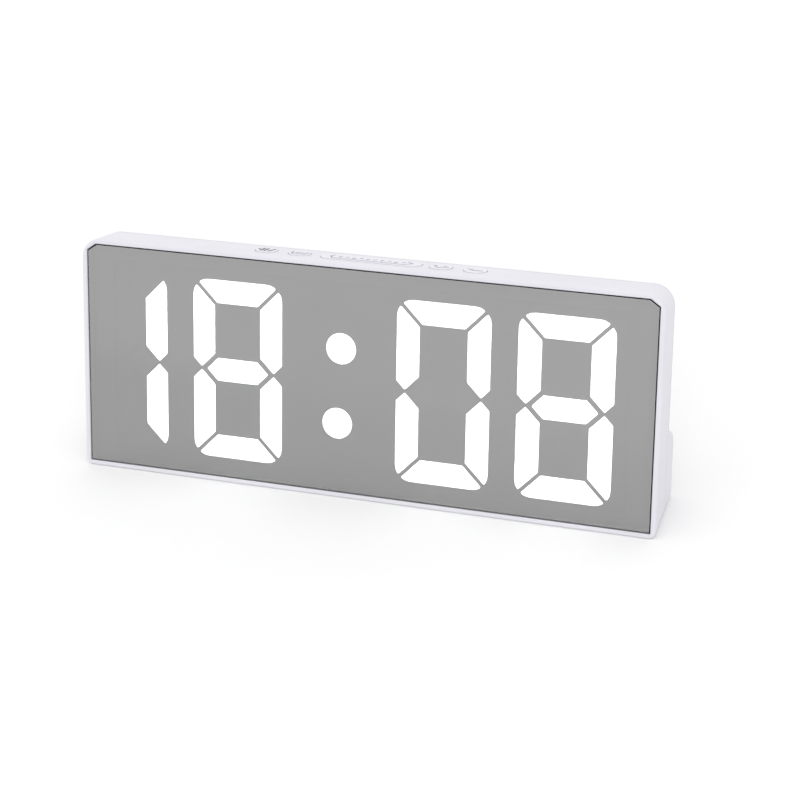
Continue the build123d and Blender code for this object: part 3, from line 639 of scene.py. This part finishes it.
def plated_metal(name, color, roughness, stretch):
    """A plated metal; stretch is small along the lines and 1 across them."""
    made, tree, shader = start_finish(name)
    rolled = place_group(tree, metal_group, Color=color, Roughness=roughness, Stretch=stretch)
    connect(tree, shader["Base Color"], rolled["Color"])
    connect(tree, shader["Roughness"], rolled["Roughness"])
    shader["Metallic"].default_value = 1.0
    bump(tree, shader, rolled["Height"], 0.000002)
    return made


NO_LINES = (1, 1, 1)
screw_metal = plated_metal("zinc-plated screw", ZINC, roughness=0.22, stretch=NO_LINES)
sheet_metal = plated_metal("nickel-plated sheet", TIN, roughness=0.2, stretch=(1, 0.05, 0.05))
can_metal = plated_metal("drawn can metal", TIN, roughness=0.16, stretch=(0.05, 1, 1))
finish(screw_metal, "cover_screws", "board_screws")
finish(sheet_metal, "contact_plate", "contact_spring", "usb_socket")
finish(can_metal, "clock_crystal")

# %% [markdown]
# ## Pieces with two finishes
#
# A chip is a black block with tinned legs, a resistor is a ceramic chip with tinned ends, and a
# battery has a printed jacket and bare steel ends. In the CAD each is one piece. Bands across the
# piece tell the material which part it is on, so one shader can be plastic here and metal there.

# %% A body with metal ends
TIN_ROUGHNESS = 0.2
TIN_EDGE = 0.00002


def metal_ended(name, color, roughness, way, start, end):
    """A finish that is a plain body between two planes and tinned metal outside them."""
    made, tree, shader = start_finish(name)
    body = place_group(tree, band_group, Direction=way, From=start, To=end, Softness=TIN_EDGE)
    tin = place_group(tree, metal_group, Color=TIN, Roughness=TIN_ROUGHNESS)
    grains = place_group(
        tree, grain_group, Grain_Size=0.12, Roughness=roughness, Roughness_Spread=0.1
    )
    tone = place_group(tree, tone_group, Color=color[0], Other_Color=color[1], Patch_Size=3.0)
    connect(tree, shader["Base Color"], blend_of(tree, body["Mask"], tin["Color"], tone["Color"]))
    connect(tree, shader["Metallic"], sum_of(tree, "SUBTRACT", 1.0, body["Mask"]))
    rough_step = sum_of(tree, "SUBTRACT", grains["Roughness"], tin["Roughness"])
    rough = sum_of(tree, "MULTIPLY_ADD", rough_step, body["Mask"], tin["Roughness"])
    connect(tree, shader["Roughness"], rough)
    bump(tree, shader, grains["Height"], 0.000003)
    return made, tree, shader


EPOXY = ((0.02, 0.02, 0.021, 1), (0.03, 0.03, 0.031, 1))
LEG_REACH = 1.2 * MM
TIN_END = 0.35 * MM

chip_low, chip_high = reach("driver_chip", UP)
chip_finish = metal_ended(
    "black epoxy and tinned legs", EPOXY, 0.5, UP, chip_low + LEG_REACH, chip_high - LEG_REACH
)[0]
resistor_low, resistor_high = reach("chip_resistors", UP)
resistor_finish = metal_ended(
    "chip resistor", EPOXY, 0.35, UP, resistor_low + TIN_END, resistor_high - TIN_END
)[0]
finish(chip_finish, "driver_chip")
finish(resistor_finish, "chip_resistors")

# %% [markdown]
# ## Battery jackets
#
# A cell wears a shrunk plastic sleeve over a steel can. The sleeve here is green with a pale band at
# its plus end, and the steel shows at both ends. The three cells are the same, so one function makes
# the finish and each cell puts its own ends into it.

# %% Battery jackets
GREEN = ((0.02, 0.11, 0.06, 1), (0.025, 0.13, 0.07, 1))
PALE_BAND = (0.62, 0.63, 0.6, 1)
NIB = 1.35 * MM
BASE_RING = 0.3 * MM
BAND_LENGTH = 9.0 * MM
LINE_GAP = 0.8 * MM
JACKET_COAT = 0.4


def jacket_finish(number):
    """The printed jacket of one battery cell."""
    start, end = reach(f"battery_cell_{number}", ACROSS)
    made, tree, shader = metal_ended(
        f"battery jacket {number}", GREEN, 0.25, (1, 0, 0), start + NIB, end - BASE_RING
    )
    band_end = start + NIB + BAND_LENGTH
    band = place_group(tree, band_group, From=start + NIB, To=band_end)
    line = place_group(tree, band_group, From=band_end + LINE_GAP, To=band_end + 2 * LINE_GAP)
    printed = sum_of(tree, "MAXIMUM", band["Mask"], line["Mask"])
    under = shader["Base Color"].links[0].from_socket
    connect(tree, shader["Base Color"], blend_of(tree, printed, under, PALE_BAND))
    shader["Coat Weight"].default_value = JACKET_COAT
    return made


for number in (1, 2, 3):
    finish(jacket_finish(number), f"battery_cell_{number}")

# %% Chip capacitors
TAN = ((0.42, 0.30, 0.19, 1), (0.5, 0.37, 0.24, 1))
CAP_TIN = 0.4 * MM
CAP_HALF = 1 * MM
CAP_PITCH = 5.0 * MM
HALF_ROW = 2.5      # pitches from the middle of the row of capacitors to its start

cap_finish, tree, shader = start_finish("chip capacitor")
tin = place_group(tree, metal_group, Color=TIN, Roughness=TIN_ROUGHNESS)
tone = place_group(tree, tone_group, Color=TAN[0], Other_Color=TAN[1], Patch_Size=2.0)
coordinates = put(tree, "ShaderNodeTexCoord")
spot = put(tree, "ShaderNodeSeparateXYZ", Vector=coordinates.outputs["Object"])
row_start = middle("chip_capacitors")[0] - HALF_ROW * CAP_PITCH
along_row = sum_of(tree, "SUBTRACT", spot.outputs["X"], row_start)
steps = sum_of(tree, "DIVIDE", along_row, CAP_PITCH)
part_step = sum_of(tree, "SUBTRACT", sum_of(tree, "FRACT", steps), 0.5)
off_centre = sum_of(tree, "ABSOLUTE", part_step)
on_tin = sum_of(tree, "GREATER_THAN", off_centre, (CAP_HALF - CAP_TIN) / CAP_PITCH)
connect(tree, shader["Base Color"], blend_of(tree, on_tin, tone["Color"], tin["Color"]))
connect(tree, shader["Metallic"], on_tin)
connect(tree, shader["Roughness"], tin["Roughness"])
finish(cap_finish, "chip_capacitors")

# %% The reservoir capacitor's sleeve
SLEEVE_BLUE = (0.012, 0.02, 0.05, 1)
STRIPE_GREY = (0.5, 0.5, 0.48, 1)
STRIPE_WIDTH = 1.2 * MM
STRIPE_PAST = 1 * MM

sleeve, tree, shader = start_finish("capacitor sleeve")
sleeve_top = reach("reservoir_capacitor", UP)[1]
stripe = place_group(
    tree, band_group,
    Direction=UP, From=sleeve_top - STRIPE_WIDTH, To=sleeve_top + STRIPE_PAST,
)
grains = place_group(tree, grain_group, Grain_Size=0.2, Roughness=0.28, Roughness_Spread=0.08)
striped = blend_of(tree, stripe["Mask"], SLEEVE_BLUE, STRIPE_GREY)
connect(tree, shader["Base Color"], striped)
connect(tree, shader["Roughness"], grains["Roughness"])
bump(tree, shader, grains["Height"], 0.000002)
finish(sleeve, "reservoir_capacitor")

# %% [markdown]
# ## Circuit board and wires
#
# The board is green lacquer over copper. Under the lacquer the tracks stand a hair proud and look
# lighter, and a brick pattern with long bricks gives believable runs of parallel tracks. The wires
# are soft plastic, shiny and slightly uneven in colour.

# %% Board
LACQUER = (0.012, 0.075, 0.035, 1)
TRACK = (0.02, 0.13, 0.06, 1)
BOARD_TURN = -73      # degrees: lays the pattern flat on the leaning board

board_finish, tree, shader = start_finish("green lacquered board")
coordinates = put(tree, "ShaderNodeTexCoord")
flat = put(tree, "ShaderNodeMapping", Vector=coordinates.outputs["Object"])
flat.inputs["Rotation"].default_value = (radians(BOARD_TURN), 0, 0)
tracks = put(
    tree, "ShaderNodeTexBrick",
    Vector=flat.outputs["Vector"], Color1=TRACK, Color2=LACQUER, Mortar=LACQUER,
    Scale=120.0, Mortar_Size=0.03, Brick_Width=1.6, Row_Height=0.09,
)
grains = place_group(tree, grain_group, Grain_Size=0.5, Roughness=0.3, Roughness_Spread=0.1)
connect(tree, shader["Base Color"], tracks.outputs["Color"])
connect(tree, shader["Roughness"], grains["Roughness"])
bump(tree, shader, tracks.outputs["Fac"], 0.00002)
finish(board_finish, "main_board")

# %% Lamp packages and wire insulation
PACKAGE = ((0.78, 0.78, 0.76, 1), (0.72, 0.71, 0.68, 1))
RED = ((0.45, 0.012, 0.01, 1), (0.52, 0.02, 0.015, 1))
lamp_package = moulded_plastic(
    "lamp package", PACKAGE,
    grain=0.1, depth=0.000002, roughness=0.4, spread=0.08, dust=0.0,
)
finish(lamp_package, "led_chips")
for word, colors in (("red", RED), ("black", BLACK)):
    insulation = moulded_plastic(
        word + " insulation", colors,
        grain=0.5, depth=0.000003, roughness=0.32, spread=0.1, dust=0.05,
    )
    finish(insulation, "battery_lead_" + word)

# %% [markdown]
# ## Beads: lamp domes and solder
#
# Every lamp carries a drop of yellow phosphor, and every leg of the chip sits in a bead of solder.
# That is one small shape repeated nearly eighty times, which is what Geometry Nodes are for: a tree
# puts a dome on each point it is given. The points are found in the CAD, as the middles of the
# separate lamps and the tips of the chip's legs, so the domes follow the CAD if it changes.

# %% Geometry tree tools
def geometry_tree(name, takes):
    """An empty geometry tree with named inputs, given as (name, type)."""
    tree = bpy.data.node_groups.new(name, "GeometryNodeTree")
    tree.interface.new_socket("Geometry", in_out="INPUT", socket_type="NodeSocketGeometry")
    for title, kind in takes:
        tree.interface.new_socket(title, in_out="INPUT", socket_type=kind)
    tree.interface.new_socket("Geometry", in_out="OUTPUT", socket_type="NodeSocketGeometry")
    return tree, tree.nodes.new("NodeGroupInput").outputs, tree.nodes.new("NodeGroupOutput").inputs


def grown(name, tree, seeds, edges, settings, placing):
    """Runs a tree on points or lines and keeps the plain mesh, turned and moved by placing."""
    seed_mesh = bpy.data.meshes.new(name + " seeds")
    seed_mesh.from_pydata(seeds, edges, [])
    carrier = mesh_object(name, seed_mesh)
    modifier = carrier.modifiers.new("grow", "NODES")
    modifier.node_group = tree
    for item in tree.interface.items_tree:
        if item.name in settings and item.in_out == "INPUT":
            modifier[item.identifier] = settings[item.name]
    depsgraph = bpy.context.evaluated_depsgraph_get()
    result = bpy.data.meshes.new_from_object(carrier.evaluated_get(depsgraph), depsgraph=depsgraph)
    carrier.modifiers.remove(modifier)
    result.transform(placing)
    carrier.data = result
    print(name, "has", len(result.polygons), "faces")
    return carrier


print("tools:", geometry_tree.__name__ + ",", grown.__name__)

# %% Bead tree
WHOLE, SURFACE = "NodeSocketInt", "NodeSocketMaterial"

bead_tree, entry, leave = geometry_tree(
    "beads", [("Radius", FLOAT), ("Height", FLOAT), ("Sides", WHOLE), ("Material", SURFACE)]
)
ball = put(bead_tree, "GeometryNodeMeshUVSphere", Radius=1.0, Segments=entry["Sides"], Rings=6)
size = put(
    bead_tree, "ShaderNodeCombineXYZ",
    X=entry["Radius"], Y=entry["Radius"], Z=entry["Height"],
)
beads = put(
    bead_tree, "GeometryNodeInstanceOnPoints",
    Points=entry["Geometry"], Instance=ball.outputs["Mesh"],
)
connect(bead_tree, beads.inputs["Scale"], size.outputs["Vector"])
real = put(bead_tree, "GeometryNodeRealizeInstances", Geometry=beads.outputs["Instances"])
smooth = put(bead_tree, "GeometryNodeSetShadeSmooth", Geometry=real.outputs["Geometry"])
coated = put(
    bead_tree, "GeometryNodeSetMaterial",
    Geometry=smooth.outputs["Geometry"], Material=entry["Material"],
)
connect(bead_tree, leave["Geometry"], coated.outputs["Geometry"])
print("tree:", bead_tree.name)


# %% Finding the lamps
def lumps(node):
    """The middle of every separate lump of a node, along the case's three directions."""
    work = merged_copy(node)
    waiting = set(work.verts)
    middles = []
    while waiting:
        lump = {waiting.pop()}
        edge = set(lump)
        while edge:
            edge = {e.other_vert(v) for v in edge for e in v.link_edges} - lump
            lump |= edge
        waiting -= lump
        places = [CASE.transposed() @ v.co for v in lump]
        middles.append(Vector([(min(axis) + max(axis)) / 2 for axis in zip(*places)]))
    work.free()
    return middles


print("lamps found:", len(lumps("led_chips")))

# %% Lamp domes and solder
PHOSPHOR = ((0.85, 0.62, 0.10, 1), (0.9, 0.7, 0.16, 1))
SOLDER_GREY = (0.6, 0.6, 0.58, 1)
DOME_RADIUS = 0.4 * MM
FILLET_RADIUS = 0.42 * MM
NEAR_TIP = 0.01 * MM
phosphor = moulded_plastic(
    "phosphor drop", PHOSPHOR,
    grain=0.08, depth=0.000002, roughness=0.25, spread=0.05, dust=0.0,
)
solder = plated_metal("solder", SOLDER_GREY, roughness=0.3, stretch=NO_LINES)

lamp_front = reach("led_chips", BACK)[0]
dome_seeds = [(lamp[0], lamp_front, lamp[2]) for lamp in lumps("led_chips")]
to_world = CASE.to_4x4()
dome_sizes = {"Radius": DOME_RADIUS, "Height": DOME_RADIUS, "Sides": 10, "Material": phosphor}
domes = grown("lamp_domes", bead_tree, dome_seeds, [], dome_sizes, to_world)
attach(domes, "root")

board_back = reach("main_board", BACK)[1]
chip_points = [v.co for v in frame["nodes"]["driver_chip"].data.vertices]
foot_seeds = []
for rise in reach("driver_chip", UP):
    sides = sorted({round(p.x, 6) for p in chip_points if abs(p.dot(UP) - rise) < NEAR_TIP})
    for left, right in zip(sides[::2], sides[1::2]):
        foot_seeds.append(((left + right) / 2, board_back, rise))
print("chip legs found:", len(foot_seeds))
fillet_sizes = {"Radius": FILLET_RADIUS, "Height": FILLET_RADIUS, "Sides": 8, "Material": solder}
fillets = grown("solder_fillets", bead_tree, foot_seeds, [], fillet_sizes, to_world)
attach(fillets, "root")

# %% [markdown]
# ## Printed marks
#
# The keys carry small pad-printed marks: ink a few hundredths of a millimetre thick, in soft greys,
# the first key's much darker than the rest. Each mark is a few plain strokes, so each is drawn as
# lines and a tree lays a flat ribbon of ink along them. The same tree prints the plus and minus signs
# on the battery jackets, which are then bent round the cell. The marks are plain signs with no
# lettering.

# %% Stroke tree
STROKE_STEP = 0.12 * MM

stroke_tree, entry, leave = geometry_tree(
    "printed strokes", [("Line Width", FLOAT), ("Ink Height", FLOAT), ("Material", SURFACE)]
)
path = put(stroke_tree, "GeometryNodeMeshToCurve", Mesh=entry["Geometry"])
fine = put(
    stroke_tree, "GeometryNodeResampleCurve", {"mode": "LENGTH"}, Curve=path.outputs["Curve"]
)
fine.inputs["Length"].default_value = STROKE_STEP
upright = put(
    stroke_tree, "GeometryNodeSetCurveNormal", {"mode": "Z_UP"}, Curve=fine.outputs["Curve"]
)
ribbon = put(stroke_tree, "GeometryNodeCurvePrimitiveQuadrilateral", Width=entry["Line Width"])
connect(stroke_tree, ribbon.inputs["Height"], entry["Ink Height"])
ink = put(
    stroke_tree, "GeometryNodeCurveToMesh", Curve=upright.outputs["Curve"],
    Profile_Curve=ribbon.outputs["Curve"], Fill_Caps=True,
)
real = put(stroke_tree, "GeometryNodeRealizeInstances", Geometry=ink.outputs["Mesh"])
coated = put(
    stroke_tree, "GeometryNodeSetMaterial",
    Geometry=real.outputs["Geometry"], Material=entry["Material"],
)
connect(stroke_tree, leave["Geometry"], coated.outputs["Geometry"])


def strokes(lines):
    """Points and edges for open lines, given in millimetres as lists of (x, y)."""
    seeds, edges = [], []
    for line in lines:
        start = len(seeds)
        seeds += [(x * MM, y * MM, 0) for x, y in line]
        edges += [(start + i, start + i + 1) for i in range(len(line) - 1)]
    return seeds, edges


print("tree:", stroke_tree.name)

# %% Marks on the keys
DARK_INK = ((0.06, 0.055, 0.10, 1), (0.08, 0.075, 0.12, 1))
PALE_INK = ((0.27, 0.26, 0.38, 1), (0.33, 0.32, 0.44, 1))
dark_ink, pale_ink = [
    moulded_plastic(
        name, colors, grain=0.1, depth=0.000002, roughness=0.55, spread=0.1, dust=0.0
    )
    for name, colors in (("dark key ink", DARK_INK), ("pale key ink", PALE_INK))
]
INK_HEIGHT = 0.04 * MM
KEY_FACE = 5.4 * MM

blob_places = [-9.2 + 1.95 * step for step in range(10)]
blobs = [
    [(x, 0.5 - 0.35 * (n % 3)), (x + 1.1, 0.2 + 0.3 * (n % 2))]
    for n, x in enumerate(blob_places)
]
short_blobs = [[(x + 0.3, -0.6), (x + 0.8, -0.5)] for x in blob_places[::2]]
slot = [(-10.6, 1.6), (-11.4, 0.2), (-10.4, -1.7), (9.6, -1.7), (11.6, 0.0), (9.8, 1.5)]
MARKS = {
    "mode": (dark_ink, 0.62, [
        [(-2.2, -0.3), (-2.1, 0.6)],
        [(-1.3, -1.5), (-1.05, 1.6)],
        [(-0.2, -1.6), (0.05, 1.5)],
        [(0.9, -1.6), (2.1, 1.3)],
    ]),
    "set": (pale_ink, 0.5, [
        [(-2.1, 1.0), (-1.9, -1.2), (1.6, -1.2), (2.2, 1.1)],
        [(-1.2, 0.0), (1.2, 0.2)],
    ]),
    "snooze": (pale_ink, 0.42, [slot] + blobs + short_blobs),
    "up": (pale_ink, 0.5, [
        [(-2.2, 0.9), (-1.1, 0.4)],
        [(-1.6, -0.4), (-0.2, -1.3), (0.9, -0.5), (2.2, 0.0)],
        [(0.4, 0.8), (1.3, 0.9)],
    ]),
    "down": (pale_ink, 0.5, [
        [(-2.3, 0.5), (-0.7, 0.2)],
        [(-1.2, -0.5), (2.2, -0.5)],
    ]),
}
for name, (ink_finish, width, lines) in MARKS.items():
    key_middle = middle("key_" + name)
    key_front = reach("key_" + name, BACK)[0]
    key_top = reach("key_" + name, UP)[1]
    on_key = Matrix.Translation((key_middle[0], key_front + KEY_FACE / 2, key_top))
    seeds, edges = strokes(lines)
    settings = {"Line Width": width * MM, "Ink Height": INK_HEIGHT, "Material": ink_finish}
    mark = grown("mark_" + name, stroke_tree, seeds, edges, settings, to_world @ on_key)
    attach(mark, "key_" + name)

# %% Plus and minus on the cells
SIGN_INK = ((0.6, 0.6, 0.58, 1), (0.55, 0.55, 0.53, 1))
sign_ink = moulded_plastic(
    "jacket ink", SIGN_INK,
    grain=0.1, depth=0.000001, roughness=0.35, spread=0.05, dust=0.0,
)
ARM = 1.3
SIGN_WIDTH = 0.6 * MM
PLUS_IN = 15 * MM
MINUS_IN = 5 * MM
plus = [[(-ARM, 0), (ARM, 0)], [(0, -ARM), (0, ARM)]]
minus = [[(-ARM, 0), (ARM, 0)]]
settings = {"Line Width": SIGN_WIDTH, "Ink Height": INK_HEIGHT, "Material": sign_ink}
for number in (1, 2, 3):
    node = f"battery_cell_{number}"
    start, end = reach(node, ACROSS)
    cell_middle = middle(node)
    radius = (reach(node, UP)[1] - reach(node, UP)[0]) / 2
    for word, lines, x in (("plus", plus, start + PLUS_IN), ("minus", minus, end - MINUS_IN)):
        seeds, edges = strokes(lines)
        name = f"sign_{word}_{number}"
        sign = grown(name, stroke_tree, seeds, edges, settings, Matrix.Identity(4))
        for vertex in sign.data.vertices:
            angle = vertex.co.y / radius
            out = radius + vertex.co.z
            depth = cell_middle[1] + out * cos(angle)
            rise = cell_middle[2] + out * sin(angle)
            vertex.co = CASE @ Vector((x - vertex.co.x, depth, rise))
        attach(sign, "root")

# %% [markdown]
# ## Floor finish
#
# The floor is matt paper with a very faint mottle. It is almost white, because it stands for a
# studio sweep, and lighter than the case, so that the case stands out against it. It is kept just
# under full white, as real paper is.

# %% Floor finish
PAPER = ((0.825, 0.825, 0.825, 1), (0.818, 0.818, 0.818, 1))
PAPER_GLOSS = 0.1

paper, tree, shader = start_finish("studio paper")
tone = place_group(tree, tone_group, Color=PAPER[0], Other_Color=PAPER[1], Patch_Size=300.0)
grains = place_group(tree, grain_group, Grain_Size=3.0, Roughness=0.85, Roughness_Spread=0.05)
connect(tree, shader["Base Color"], tone["Color"])
connect(tree, shader["Roughness"], grains["Roughness"])
shader["Specular IOR Level"].default_value = PAPER_GLOSS
floor_mesh.materials.append(paper)
print("floor:", paper.name)
